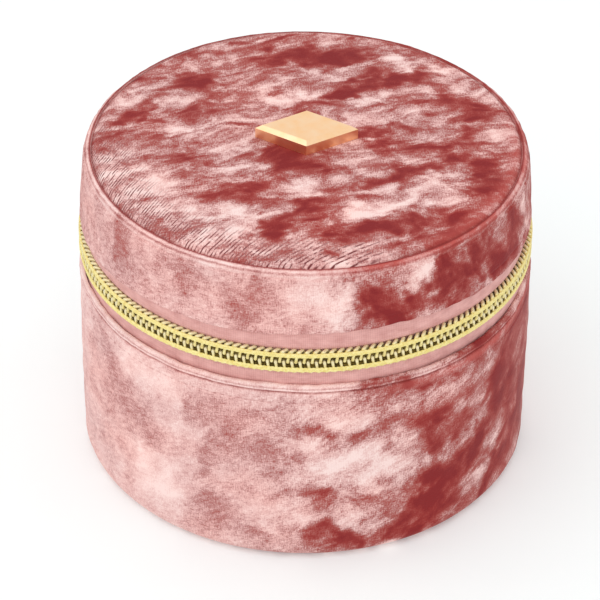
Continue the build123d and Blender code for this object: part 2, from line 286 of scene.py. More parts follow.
class Nodes:
    """Small builder for one node material."""

    def __init__(self, name):
        self.material = bpy.data.materials.new(name)
        self.material.use_nodes = True
        self.tree = self.material.node_tree
        self.shader = self.tree.nodes["Principled BSDF"]

    def add(self, kind, inputs=None, **settings):
        made = self.tree.nodes.new(kind)
        for key, value in settings.items():
            setattr(made, key, value)
        for key, value in (inputs or {}).items():
            self.put(made.inputs[key], value)
        return made

    def put(self, socket, value):
        if isinstance(value, bpy.types.NodeSocket):
            self.tree.links.new(value, socket)
        else:
            socket.default_value = value

    def maths(self, operation, a, b=0.5):
        return self.add("ShaderNodeMath", {0: a, 1: b}, operation=operation).outputs[0]

    def times(self, a, b):
        return self.maths("MULTIPLY", a, b)

    def plus(self, a, b):
        return self.maths("ADD", a, b)

    def wave(self, value, pitch):
        return self.maths("SINE", self.times(value, 2 * PI / pitch))

    def vector(self, operation, a, b=(0, 0, 0)):
        return self.add("ShaderNodeVectorMath", {0: a, 1: b}, operation=operation).outputs[0]

    def scaled(self, where, x, y, z=0.0):
        return self.vector("MULTIPLY", where, (x, y, z))

    def split(self, vector):
        return self.add("ShaderNodeSeparateXYZ", {0: vector}).outputs

    def combined(self, x=0.0, y=0.0):
        return self.add("ShaderNodeCombineXYZ", {0: x, 1: y}).outputs[0]

    def between(self, factor, hex_low, hex_high):
        return self.mix(factor, linear(hex_low), linear(hex_high))

    def cloth(self):
        """Place on the cloth, in mm."""
        return self.add("ShaderNodeUVMap", uv_map="cloth").outputs[0]

    def place(self, scale=1.0):
        """Place on the object, in metres times scale."""
        where = self.add("ShaderNodeTexCoord").outputs["Object"]
        return self.scaled(where, scale, scale, scale)

    def attribute(self, name):
        return self.add("ShaderNodeAttribute", attribute_name=name).outputs["Fac"]

    def turned(self, where, angle):
        inputs = {"Vector": where, "Angle": angle}
        return self.add("ShaderNodeVectorRotate", inputs, rotation_type="Z_AXIS").outputs[0]

    def noise(self, where, scale, detail=3.0, rough=0.55, output="Fac"):
        inputs = {"Vector": where, "Scale": scale, "Detail": detail, "Roughness": rough}
        return self.add("ShaderNodeTexNoise", inputs).outputs[output]

    def ramp(self, factor, stops):
        made = self.add("ShaderNodeValToRGB", {"Fac": factor})
        ramp = made.color_ramp
        while len(ramp.elements) < len(stops):
            ramp.elements.new(0.5)
        for element, (place, colour) in zip(ramp.elements, stops):
            element.position = place
            element.color = colour
        return made.outputs["Color"]

    def mix(self, factor, a, b, blend="MIX"):
        made = self.add("ShaderNodeMix", data_type="RGBA", blend_type=blend)
        for number, value in ((0, factor), (6, a), (7, b)):
            self.put(made.inputs[number], value)
        return made.outputs[2]

    def range(self, value, a, b, c=0.0, d=1.0):
        inputs = {"Value": value, "From Min": a, "From Max": b, "To Min": c, "To Max": d}
        return self.add("ShaderNodeMapRange", inputs).outputs[0]

    def bump(self, height, strength, distance):
        inputs = {"Height": height, "Strength": strength, "Distance": distance * MM}
        return self.add("ShaderNodeBump", inputs).outputs[0]

    def finish(self, **sockets):
        """Sets the shader's inputs; an underscore stands for a space."""
        for key, value in sockets.items():
            self.put(self.shader.inputs[key.replace("_", " ")], value)
        return self.material


def linear(hex_colour):
    """Scene-linear red, green, blue and alpha of an sRGB hex colour."""
    parts = [int(hex_colour[i:i + 2], 16) / 255 for i in (0, 2, 4)]
    return (*(c / 12.92 if c <= 0.04045 else ((c + 0.055) / 1.055) ** 2.4 for c in parts), 1)


# From pile that lies away from the light to pile that faces it, with each colour's place.
PILE_COLOURS = [
    (0.04, linear("852628")), (0.2, linear("943532")), (0.32, linear("A4504B")), (0.42, linear("AF6B66")),
    (0.51, linear("BC8986")), (0.61, linear("D9A9A5")), (0.71, linear("E9C1BC")), (0.86, linear("F8DDD8")),
]
WALE_PITCH = 1.5


def velvet(name, patch, lean, bias=0.0, seed=0.0, contrast=1.0, wales=None):
    """Crushed velvet: deep red where the pile lies away from the light, pale pink where it faces it.

    patch is the patches' size in mm along and across the lean direction; lean is in radians.
    bias is how much paler the whole piece is. The mesh's own "lay" adds to it and "calm" evens it out;
    its "crease" paints shade into grooves, seams and stitch lines, partly the pile parting there, and its
    "coral" paints edge light on the pile beside seams. wales is how much the short dark wales bend; they
    show where "wale" is above 0.
    """
    m = Nodes(name)
    cloth = m.cloth()
    base = m.vector("ADD", m.turned(cloth, -lean), (seed, seed * 0.7, seed * 0.3))

    def centred(where, size, detail, rough, gain):
        """Noise about 0, with features of size mm along and across."""
        fac = m.noise(m.scaled(where, 1 / size[0], 1 / size[1]), 1.0, detail, rough)
        made = m.add("ShaderNodeMath", {0: fac, 1: gain, 2: -gain / 2}, operation="MULTIPLY_ADD")
        return made.outputs[0]

    drift = m.noise(m.scaled(base, 0.07, 0.09), 1.0, 1, output="Color")
    drift = m.scaled(m.vector("SUBTRACT", drift, (0.5, 0.5, 0.5)), 9, 5)
    warped = m.vector("ADD", base, drift)
    push = centred(warped, patch, 1.0, 0.4, patch[1] * 0.9)
    broken = m.vector("ADD", warped, m.combined(y=push))

    large = centred(broken, patch, 1.5, 0.4, 1.2 * contrast)
    medium = centred(broken, (patch[0] * 0.34, patch[1] * 0.4), 2.5, 0.5, 0.92 * contrast)
    strokes = centred(warped, (2.4, 0.95), 2, 0.5, 0.42)
    threads = m.plus(centred(cloth, (0.24, 1.5), 1, 0.5, 0.4), centred(cloth, (1.4, 0.26), 1, 0.5, 0.34))
    grain = m.plus(centred(cloth, (0.36, 0.36), 1, 0.6, 0.5), threads)
    ember = centred(m.vector("ADD", warped, (31, 17, 0)), (patch[0] * 0.5, patch[1] * 0.6), 1, 0.4, 1.0)
    sunk = m.range(ember, 0.10, 0.26, 0.0, -0.26)

    calm = m.attribute("calm")
    swell = m.times(m.plus(m.plus(large, medium), sunk), m.range(calm, 0, 1, 1.0, 0.37))
    total = m.plus(swell, m.plus(m.attribute("lay"), 0.5 + bias))
    nap = m.times(m.plus(strokes, grain), m.range(total, 0.2, 0.45, 0.42, 1.0))
    nap = m.times(nap, m.range(calm, 0, 1, 1.0, 0.75))
    nap = m.times(nap, m.range(total, 0.62, 0.82, 1.0, 0.62))
    total = m.plus(total, nap)
    colour = m.ramp(total, PILE_COLOURS)

    warmth = m.range(centred(base, (24, 16), 2, 0.5, 1.0), -0.1, 0.2)
    colour = m.mix(warmth, colour, m.mix(1.0, colour, (1.07, 0.975, 0.95, 1), "MULTIPLY"))

    warp, weft = m.split(m.turned(cloth, 0.7))[:2]
    crossed = m.times(m.wave(warp, 0.5), m.wave(weft, 0.62))
    weave = m.times(m.range(crossed, 0.1, 0.8), m.times(m.range(total, 0.5, 0.7), 0.3))
    colour = m.mix(weave, colour, m.mix(1.0, colour, (0.78, 0.62, 0.6, 1), "MULTIPLY"))
    # Painted edge light: the pile beside seams turns coral.
    patchy = m.range(m.plus(strokes, medium), -0.25, 0.2, 1.0, 0.35)
    colour = m.mix(m.times(m.attribute("coral"), patchy), colour, linear("C65F58"))
    # Painted shade in grooves, seams and stitch lines, partly the pile parting there, in deep red.
    shade_red = m.mix(1.0, colour, linear("B8504C"), "MULTIPLY")
    colour = m.mix(m.attribute("crease"), colour, m.mix(0.5, shade_red, linear("8E3A38")))
    height = m.plus(strokes, grain)
    if wales:
        bent = m.vector("ADD", cloth, m.scaled(drift, 0.2, 0.2))
        across, down = m.split(bent)[:2]
        bow = m.times(across, m.plus(m.times(across, -wales), 1.0))
        row = m.maths("SUBTRACT", down, bow)
        where = m.combined(m.plus(down, across), row)
        dashes = m.noise(m.scaled(where, 0.28, 0.65), 1.0, 2, 0.6)
        line = m.times(m.range(m.wave(row, WALE_PITCH), -0.1, 0.7), m.range(dashes, 0.42, 0.54))
        amount = m.times(m.times(line, m.attribute("wale")), m.range(total, 0.42, 0.58, 0.3, 1))
        colour = m.mix(amount, colour, linear("7A3A3B"))
        height = m.maths("SUBTRACT", height, m.times(amount, 0.5))
    return m.finish(
        Base_Color=colour, Roughness=0.85, Normal=m.bump(height, 0.45, 0.3), Specular_IOR_Level=0.2,
        Sheen_Weight=0.16, Sheen_Roughness=0.3, Sheen_Tint=(1.0, 0.85, 0.83, 1),
    )


def metal(name, hex_colour, roughness):
    """Plated metal with faint polishing marks."""
    m = Nodes(name)
    where = m.place()
    marks = m.noise(m.scaled(where, 900, 900, 2600), 1.0, 3)
    cloud = m.noise(where, 300, 2)
    return m.finish(
        Base_Color=m.mix(m.range(cloud, 0.35, 0.75, 0, 0.25), linear(hex_colour), (1, 0.93, 0.8, 1)),
        Metallic=1.0,
        Roughness=m.range(marks, 0.3, 0.8, roughness, roughness + 0.08),
        Normal=m.bump(marks, 0.05, 0.02),
    )


def woven(name, hex_low, hex_high, rib, roughness=0.75, sheen=0.15, on_cloth=True):
    """Woven tape, ribbon or cord with fine ribs across it; rib is their pitch in mm."""
    m = Nodes(name)
    where = m.cloth() if on_cloth else m.place(1 / MM)
    length, width = m.split(where)[:2]
    along, across = m.wave(length, rib), m.wave(width, rib * 1.4)
    weave = m.plus(m.times(along, 0.35), m.times(across, 0.12))
    cloud = m.noise(m.scaled(where, 0.3, 0.6, 0.3), 1.0, 4)
    factor = m.plus(m.times(weave, 0.5), m.range(cloud, 0.3, 0.7, 0.1, 0.9))
    return m.finish(
        Base_Color=m.between(factor, hex_low, hex_high), Roughness=roughness,
        Normal=m.bump(weave, 0.4, 0.08), Sheen_Weight=sheen, Specular_IOR_Level=0.3,
    )


def coil_gold(name, hex_low, hex_high, metallic, roughness):
    """Metallised nylon, a little uneven along the chain, with painted highlights where "pale" is above 0.
    """
    m = Nodes(name)
    fine = m.noise(m.place(1400), 1.0, 3)
    plain = m.between(m.range(fine, 0.3, 0.7), hex_low, hex_high)
    return m.finish(
        Base_Color=m.mix(m.attribute("pale"), plain, linear("EFE6CC")), Metallic=metallic,
        Roughness=roughness, Normal=m.bump(fine, 0.15, 0.05),
    )


def suede(name, hex_low, hex_high, size=1.0):
    """Short even pile of the linings."""
    m = Nodes(name)
    where = m.place(1 / MM)
    cloud = m.noise(where, 0.09 * size, 4, 0.6)
    nap = m.noise(where, 2.6 * size, 3, 0.7)
    factor = m.plus(m.range(cloud, 0.35, 0.65, 0.0, 0.8), m.range(nap, 0.3, 0.7, 0.0, 0.3))
    return m.finish(
        Base_Color=m.between(factor, hex_low, hex_high), Roughness=0.9,
        Normal=m.bump(nap, 0.3, 0.15), Sheen_Weight=0.4, Sheen_Roughness=0.4, Specular_IOR_Level=0.15,
    )


def silvered_glass(name):
    m = Nodes(name)
    haze = m.noise(m.place(), 120, 3)
    rough = m.range(haze, 0.4, 0.8, 0.02, 0.06)
    return m.finish(Base_Color=(0.88, 0.9, 0.9, 1), Metallic=1.0, Roughness=rough)


def board(name):
    m = Nodes(name)
    fibre = m.noise(m.place(), 2500, 4)
    return m.finish(
        Base_Color=m.mix(fibre, (0.33, 0.31, 0.28, 1), (0.45, 0.43, 0.39, 1)), Roughness=0.9,
        Normal=m.bump(fibre, 0.2, 0.05),
    )


side_velvet = velvet("side_velvet", (17, 12), 0.45, 0.055, seed=3.0, contrast=0.88)
top_velvet = velvet("top_velvet", (15, 7.5), 0.32, -0.025, seed=41.0, wales=0.0125)
band_velvet = velvet("band_velvet", (10, 13), 0.3, 0.04, seed=87.0, contrast=0.85)
plain_velvet = velvet("plain_velvet", (15, 10), 0.2, 0.03, seed=150.0)
tape_cloth = woven("tape_cloth", "CA8D88", "EBB4AE", 0.42)
# Core cord, partly painted shade: its dark olive stands in for the shade in the chain's gaps.
cord_and_shade_cloth = woven("coil_cord", "46360F", "7E6826", 0.5, 0.9, 0.0, on_cloth=False)
coil_metal = coil_gold("coil_gold", "D9BF62", "F7EBAA", 0.3, 0.32)
coil_thread = coil_gold("coil_thread", "E9D276", "F9ECA6", 0.0, 0.5)
slider_metal = metal("slider_gold", "F2D68C", 0.27)
badge_metal = metal("badge_gold", "FFD2A0", 0.3)
steel = metal("washer_steel", "9A9A9C", 0.3)
lining_suede = suede("lining_suede", "C08E8C", "DDB0AC")
roll_suede = suede("roll_suede", "C89693", "E4BAB5")
ribbon_satin = woven("ribbon_satin", "C98C8A", "E8B8B4", 0.25, 0.4, 0.3)
hidden_board = board("grey_board")
foam_look = suede("foam", "D8D4C8", "E8E5DC", 3.0)
mirror_silver = silvered_glass("mirror_glass")


def dress(piece, material, body, slot, *nodes):
    """Material, body, slot (not used) and the CAD nodes that the piece stands for."""
    piece.data.materials.clear()
    piece.data.materials.append(material)
    if body:
        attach(piece, body)
    if nodes:
        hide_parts(*nodes)
    return piece


def mark(piece, **functions):
    """Stores the velvet's attributes at each vertex, from functions of (x, y, z) in mm.

    "lay" is how pale the pile lies, with painted side light and painted highlights in it, about -0.3
    to 0.3; "calm", "crease" (painted shade), "coral" (painted edge light) and "wale" are 0 to 1.
    """
    mesh = piece.data
    co = np.zeros(len(mesh.vertices) * 3)
    mesh.vertices.foreach_get("co", co)
    x, y, z = co.reshape(-1, 3).T / MM
    for name, function in functions.items():
        store(piece, name, function(x, y, z))


def patches(u, v, spots, seed, rough=1.6):
    """Sum of soft leaning ellipses: (u, v, half length, half width, lean in degrees, depth)."""
    u2 = u + rough * ripple(seed, 9)(u, v) + 0.5 * rough * ripple(seed + 1, 3)(u, v)
    v2 = v + rough * ripple(seed + 2, 9)(u, v) + 0.5 * rough * ripple(seed + 3, 3)(u, v)
    total = np.zeros(np.shape(u))
    for cu, cv, length, width, lean, depth in spots:
        c, s = math.cos(math.radians(lean)), math.sin(math.radians(lean))
        du, dv = u2 - cu, v2 - cv
        along, across = (du * c + dv * s) / length, (dv * c - du * s) / width
        total += depth * np.exp(-(along**2 + across**2) ** 1.4)
    return total


# Where the pile is crushed most, on the side in (mm of arc from the front, height).
SIDE_SPOTS = [
    (30, 11, 12, 4.5, 32, -0.42), (47, 22, 10, 4, 48, -0.38), (57, 33, 6, 11, 10, -0.3),
    (68, 16, 11, 8, 70, -0.3), (33, 30, 10, 4, 8, -0.16), (8, 7, 10, 3, -14, -0.42),
    (22, 3, 11, 2.5, 12, -0.3), (3, 38, 5, 2.2, 4, -0.34), (48, 5, 9, 4, 20, -0.22),
    (72, 42, 8, 8, 60, -0.25), (-18, 34, 12, 7, -35, -0.17), (-22, 12, 9, 6, -40, -0.16),
    (-40, 28, 6, 4, -40, -0.12), (-52, 32, 9, 18, 20, -0.1), (14, 26, 12, 8, 0, 0.16),
    (-38, 12, 12, 9, 50, 0.12), (-5, 18, 6, 8, 0, 0.08), (24, 42, 9, 3, 5, 0.12),
    (-40, 43, 10, 5, -20, 0.12),
]
# On the top, in (x, y).
TOP_SPOTS = [
    (-42, 9, 8, 3, 48, -0.34), (-26, 28, 9, 4, 22, -0.3), (-12, 38, 8, 5, 10, -0.22),
    (2, 36, 7, 5, -20, -0.32), (-5, -9, 7, 5, -25, -0.32), (-12, -19, 12, 4, 22, -0.2),
    (-8, -37, 6, 4, 40, -0.5), (-2, -29, 6, 3, 42, -0.42), (-27, -6, 4, 3.5, 0, -0.26),
    (10, 37, 8, 3, 25, -0.3), (24, 28, 6, 3, 28, -0.4), (12, 22, 9, 2.6, 22, -0.42),
    (36, 18, 8, 4, -30, -0.3), (14, 1, 5, 3, 5, -0.42), (36, -3, 9, 6, -30, -0.18),
    (19, -17, 10, 3, 22, -0.4), (28, -12, 5, 2, 0, -0.3), (42, -12, 5, 9, 0, -0.3),
    (12, -37, 9, 4, 12, -0.38), (30, -33, 9, 4, 30, -0.3), (22, -27, 8, 4, 20, 0.1),
    (28, -16, 8, 6, 30, 0.24), (12, -29, 7, 3, 10, 0.22), (-36, -20, 12, 9, -30, 0.2),
    (-18, -32, 10, 7, -30, 0.24), (-22, 1, 8, 6, 60, 0.2), (-4, 18, 8, 3, 15, 0.22),
    (-30, 18, 10, 3, 30, 0.22), (-20, 36, 9, 3, 25, 0.22), (20, 12, 14, 3, 20, 0.12),
    (-8, -14, 9, 2, 18, 0.14), (24, 34, 8, 2.4, -10, 0.25), (3, -20, 9, 4, 20, 0.16),
    (40, 8, 8, 2.5, -8, 0.2),
]
# On the lid's band, in (mm of arc from the front, height).
BAND_SPOTS = [
    (19, 72, 6, 6, 40, -0.42), (34, 76, 3.5, 8, -20, -0.36), (44, 74, 5, 7, -30, -0.28),
    (26, 69, 8, 2.5, 12, -0.3), (52, 76, 5, 8, 10, -0.2), (60, 72, 6, 8, 0, -0.22),
    (28, 75, 7, 4, 20, 0.2), (3, 72, 10, 8, 0, 0.1), (-12, 72, 7, 6, -20, -0.1),
    (-30, 75, 8, 4, -30, -0.1), (-48, 74, 3, 8, 10, -0.12), (-25, 70, 9, 4, 0, 0.1),
]


# ---- velvet covers ----

GROOVE_Z = BASE_TOP - 2.25
FOOT_R = 3.2


def stitch_holes(u, pitch, share):
    """1 in the short gaps where thread goes down, along u in mm."""
    return smoothstep(np.cos(2 * PI * u / pitch), 1 - 2 * share, 1)


def back_seam(u, length):
    """Closing seam of a side cover at the back: depth of the seam, and its painted shade."""
    d = length - abs(u)
    return 0.5 * bump(d, 0, 0.55) - 0.12 * bump(d, 1.5, 0.8), 0.85 * bump(d, 0, 0.4)


def base_cover():
    """Side of the base: rounded foot, two stitch lines, rolled and folded top edge."""
    foot = arc_points((BASE_R - FOOT_R, FOOT_R + 0.1), FOOT_R, -90, 0, 9)
    roll_r = 0.75
    top = BASE_TOP - 0.35
    wall = np.concatenate([np.linspace(3.6, 45, 60), np.linspace(45.3, top - roll_r, 56)[:-1]])
    outer = upright(BASE_R, wall)
    roll = arc_points((BASE_R - roll_r, top - roll_r), roll_r, 0, 115, 11)
    fold = np.array([(BASE_R - 1.15, top - 0.5), (BASE_R - 1.28, top - 1.0)])
    inside = np.array([(BASE_R - 1.3, 45), (BASE_R - SKIN, 44), (BASE_R - SKIN, 4)])
    under = np.array([(BASE_R - FOOT_R, 0.9)])
    profile = np.vstack([foot, outer, roll, fold, inside, under])
    sway = ripple(11, 38)
    crush = ripple(12, 9, 30)
    pucker = ripple(13, 3.2, 30)

    def shape(a, radius, z, s):
        u = a * BASE_R
        skin = (s < 62) & (radius > BASE_R - FOOT_R)
        dip = 0.42 * bump(z, GROOVE_Z + 0.06 * sway(u, 0), 0.28)
        dip += 0.12 * bump(z, GROOVE_Z - 3.0, 0.3) - 0.1 * bump(z, GROOVE_Z + 0.75, 0.3)
        near = bump(z, BASE_TOP - 2.6, 2.2)
        wave = 0.16 * sway(u, z) + 0.07 * crush(u, z) + 0.05 * near * pucker(u, z)
        belly = 0.12 * np.sin(PI * np.clip(z / BASE_TOP, 0, 1))
        dip += back_seam(u, PI * BASE_R)[0] * smoothstep(z, 1, 4) * (1 - smoothstep(z, 50, 51))
        dr = np.where(skin, wave * smoothstep(z, 0, 3) + belly - dip, 0)
        dz = smoothstep(z, BASE_TOP - 1.2, BASE_TOP - 0.2) * 0.12 * pucker(u * 0.7, 0)
        return dr - 0.1, np.where(skin, dz, 0)

    cover = lathe("base_velvet_cover", profile, BASE_R, shape, steps=540)

    def lay(x, y, z):
        u = arc_length(x, y, BASE_R)
        behind = smoothstep(y, 0, 25)
        # Painted side light, partly the pile's lay: paler on the left, redder to the right and at the back.
        even = 0.05 + 0.075 * smoothstep(-x, 0, 20) - 0.07 * behind
        even -= 0.18 * smoothstep(x, 8, 36) * (1 - behind)
        # Painted highlights on the ridge above the groove and on the rolled top edge.
        ridge_highlights = 0.1 * bump(z, GROOVE_Z + 0.75, 0.3) + 0.12 * bump(z, BASE_TOP - 0.5, 0.35)
        return even + patches(u, z, SIDE_SPOTS, 61) * (1 - smoothstep(z, 47, 50) * 0.6) + ridge_highlights

    # Painted shade in the groove, stitch line, under the roll and in the back seam; partly pile parting.
    def crease(x, y, z):
        u = arc_length(x, y, BASE_R)
        deep = 0.85 * bump(z, GROOVE_Z + 0.06 * sway(u, 0), 0.22) * (0.75 + 0.25 * pucker(u, 0))
        second = 0.6 * bump(z, GROOVE_Z - 3.0 + 0.1 * sway(u, 0), 0.16) * stitch_holes(u, 1.9, 0.5)
        roll_shade_line = 0.4 * bump(z, BASE_TOP - 1.15, 0.14) + back_seam(u, PI * BASE_R)[1]
        return np.clip(deep + second + roll_shade_line, 0, 1) * smoothstep(np.hypot(x, y), 53, 53.4)

    def coral(x, y, z):
        """Edge-lit pile beside the groove, on the side away from the key light."""
        u = arc_length(x, y, BASE_R)
        return 0.85 * smoothstep(x, 14, 34) * bump(z, GROOVE_Z - 1.0 + 0.5 * sway(u, 0), 1.3)

    mark(cover, lay=lay, crease=crease, coral=coral, calm=lambda x, y, z: smoothstep(-x, -10, 20))
    dress(cover, side_velvet, "base", "velvet", "base_side_velvet")


def band_radius(z):
    share = np.clip((z - BAND_LOW) / (SHOULDER_Z - BAND_LOW), 0, 1)
    return BAND_R + (SHOULDER_R - BAND_R) * share


def lid_band():
    """Band of the lid: folded hem, slight taper, shoulder and the rolled seam at the top disc."""
    low = BAND_LOW
    hem = arc_points((BAND_R - 0.45, low + 0.45), 0.45, -90, 0, 6)
    z = np.linspace(low + 0.6, SHOULDER_Z, 46)
    wall = np.stack([band_radius(z), z], -1)
    t = np.linspace(0, 1, 26)[1:]
    bulge = np.array([52.35, 80.9])
    start, end = np.array([SHOULDER_R, SHOULDER_Z]), np.array([SEAM_R, SEAM_Z - 0.1])
    shoulder = np.outer((1 - t) ** 2, start) + np.outer(2 * t * (1 - t), bulge) + np.outer(t**2, end)
    inner = np.array([
        (SEAM_R - 0.35, SEAM_Z - 0.7), (SEAM_R + 0.2, SEAM_Z - 1.6), (SHOULDER_R - 0.9, SHOULDER_Z),
        (band_radius(low + 4) - SKIN, low + 4.2), (TAPE_R + 0.06, low + 3.8), (TAPE_R + 0.06, low + 0.3),
    ])
    profile = np.vstack([hem, wall, shoulder, inner])
    skin_rows = len(hem) + len(wall) + len(shoulder)
    gaps = np.linalg.norm(np.diff(profile[:skin_rows], axis=0), axis=1)
    skin_length = gaps.sum() + 1e-6
    sway = ripple(21, 30)
    crush = ripple(22, 8, 30)
    pucker = ripple(23, 2.6, 30)

    def shape(a, radius, z, s):
        skin = s <= skin_length
        u = a * BAND_R
        from_seam = skin_length - s
        ridge = 0.16 * bump(from_seam, 1.5, 0.5) - 0.2 * bump(from_seam, 2.4, 0.28)
        ridge += 0.1 * bump(from_seam, 3.1, 0.35)
        near = bump(from_seam, 0, 3)
        stitch = 0.14 * bump(z, low + 2.6, 0.3)
        wave = 0.14 * sway(u, z) + 0.07 * crush(u, z) + 0.07 * near * pucker(u, z)
        edge = smoothstep(low + 1.4 - z, 0, 1.2)
        ends = 1 - smoothstep(abs(a), 2.5, 3.1)
        droop = 2.6 * smoothstep(-a, 0.45, 1.45) * (1 - smoothstep(-a, 1.7, 2.4))
        droop = (droop + 0.4 * ends * sway(u * 0.5, 0)) * (1 - smoothstep(z, low, low + 9))
        hold = 1 - smoothstep(-from_seam, -0.8, 0)
        sewn = back_seam(u, PI * BAND_R)[0] * smoothstep(z, low, low + 1) * (1 - smoothstep(z, 78, 81))
        dr = np.where(skin, wave * hold + ridge - stitch - sewn, 0)
        dz = np.where(skin & (z < low + 2), edge * 0.14 * pucker(u * 0.6, 0), 0) - droop
        return dr - 0.05, dz + np.where(skin, 0.5 * ridge * smoothstep(z, 79, 81.4), 0)

    band = lathe("lid_band_cover", profile, BAND_R, shape, steps=540)

    def from_edge(x, y, z):
        return np.hypot(np.hypot(x, y) - SEAM_R, z - SEAM_Z)

    def lay(x, y, z):
        u = arc_length(x, y, BAND_R)
        behind = smoothstep(y, 0, 25)
        # Painted side light, partly the pile's lay: redder to the right and at the back.
        even = 0.06 - 0.16 * smoothstep(x, 8, 42) * (1 - behind) - 0.05 * behind
        out = from_edge(x, y, z)
        # Painted highlights on the ridges beside the seam.
        ridge_highlights = 0.16 * bump(out, 0.75, 0.3) + 0.1 * bump(out, 1.9, 0.35)
        return even + patches(u, z, BAND_SPOTS, 65) + ridge_highlights

    # Painted shade in the seam, between its ridges and along the hem's stitch line; partly pile parting.
    def crease(x, y, z):
        u, out = arc_length(x, y, BAND_R), from_edge(x, y, z)
        seam = 0.9 * (1 - smoothstep(out, 0.15, 0.45)) * smoothstep(z, 79, 80)
        second = 0.6 * bump(out, 1.3 + 0.08 * pucker(u, 0), 0.2) * (0.7 + 0.3 * crush(u, 0))
        stitch = 0.65 * bump(z, BAND_LOW + 2.5 + 0.1 * pucker(u, 0), 0.16) * stitch_holes(u, 2.1, 0.45)
        return np.clip(seam + second + stitch, 0, 1) * smoothstep(np.hypot(x, y), 49, 50)

    # Painted edge light on the pile beside the seam, towards the right.
    def coral(x, y, z):
        near = bump(from_edge(x, y, z), 0.5, 1.15)
        return 0.9 * smoothstep(x, -6, 14) * near * smoothstep(z, 77.5, 79.5)

    mark(band, lay=lay, crease=crease, coral=coral, calm=lambda x, y, z: smoothstep(-x, -20, 5))
    dress(band, band_velvet, "lid", "velvet", "lid_side_velvet")


def top_height(x, y, share):
    """Surface of the padded top: nearly flat, rolling down into the seam."""
    crown = SEAM_Z + 0.25 + (DOME_TOP - SEAM_Z - 0.25) * (1 - share**2)
    roll = 0.95 * smoothstep(share, 0.965, 1.0) ** 1.3
    swell = ripple(31, 26)(x, y) * 0.14 + ripple(32, 9)(x, y) * 0.05
    a = np.arctan2(x, -y)
    pleats = ripple(33, 1.9, 24)(a * SEAM_R, share * 3) * 0.07 * smoothstep(share, 0.84, 0.96)
    ease = smoothstep(share, 0.12, 0.3) * (1 - smoothstep(share, 0.97, 1.0))
    return crown - roll + (swell + pleats) * ease


def top_cover():
    cover = disc_mesh("lid_top_cover", SEAM_R - 0.1, top_height, rings=90, steps=480)

    def share(x, y):
        return np.hypot(x, y) / SEAM_R

    def wale(x, y, z):
        """Wales show near the seam, most at the front."""
        front = smoothstep(-y - 0.45 * x, 6, 24) * (1 - smoothstep(x, 12, 24))
        return smoothstep(share(x, y), 0.7, 0.92) * front

    # Painted edge light on the pile near the seam, at the right, towards the front.
    def coral(x, y, z):
        near = smoothstep(share(x, y), 0.9, 0.98)
        return 0.55 * smoothstep(x, 20, 38) * near * (1 - smoothstep(y, 5, 18))

    mark(
        cover, wale=wale, coral=coral,
        lay=lambda x, y, z: patches(x, y, TOP_SPOTS, 69, 1.2) + 0.1 * wale(x, y, z),
        # Painted shade where the top rolls down into the seam.
        crease=lambda x, y, z: 0.85 * smoothstep(share(x, y), 0.982, 0.996),
    )
    dress(cover, top_velvet, "lid", "velvet", "lid_top_velvet")


def bottom_cover():
    radius = BASE_R - FOOT_R - 0.1

    def height(x, y, share):
        return 0.8 - 0.1 * smoothstep(share, 0.9, 1) + 0 * x

    cover = disc_mesh("base_bottom_cover", radius, height, rings=24, thickness=0.75)
    mark(cover, lay=lambda x, y, z: 0 * x)
    dress(cover, plain_velvet, "base", "velvet", "base_bottom_velvet")


base_cover()
lid_band()
top_cover()
bottom_cover()


# ---- zip ----

COIL_END = PI - math.radians(31.0)
COIL_PITCH = 1.82
WIRE = 0.36
TAPE_THICK = 0.5
CHAIN_Z = SPLIT_Z - 0.6
INNER_LAYER = TAPE_R - 0.25
OUTER_LAYER = TAPE_R + 0.78
COIL_R = (INNER_LAYER + OUTER_LAYER) / 2


# Ends of a bend from base to lid, in metres, which bend() takes but does not use. Beside the hinge,
# the tape's edge at the chain would stay with the base and its other edge go with the lid.
TAPE_BEND = (0, 0.0385, 0.0594), (0, 0.03623, 0.06467)
# Ends of the upper coil's bend, also unused: it would stay with the base beside the hinge and rise
# to the lid further on.
CHAIN_BEND = (0, 0.0385, 0.059), (0, 0.0245, 0.059)


def bend(piece, start, end):
    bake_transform(piece)
    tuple(start)
    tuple(end)


def tape(name, low, high):
    inside = TAPE_R - TAPE_THICK
    outside = [(TAPE_R, z) for z in np.linspace(low, high, 22)]
    profile = [(inside, low)] + outside + [(inside, high)]
    end = PI - HINGE_HALF - math.radians(0.5)
    sag = ripple(41 + int(low), 24)

    def shape(a, radius, z, s):
        """The tape dips behind the chain."""
        reach = 10 * smoothstep(abs(a), 1.9, 2.1) * (z > CHAIN_Z)
        dip = 0.65 * (1 - smoothstep(abs(z - CHAIN_Z) - reach, CHAIN_HALF - 0.6, CHAIN_HALF + 0.5))
        dip *= smoothstep(end - abs(a), 0, 0.05)
        dip += 0.6 * bump(abs(a), 2.2, 0.22) * bump(z, CHAIN_Z + 1.6, 2.2) * (z > CHAIN_Z)
        return 0.06 * sag(a * TAPE_R, 0) - dip, 0 * z

    return lathe(name, profile, TAPE_R, shape, 420, (-end, end))


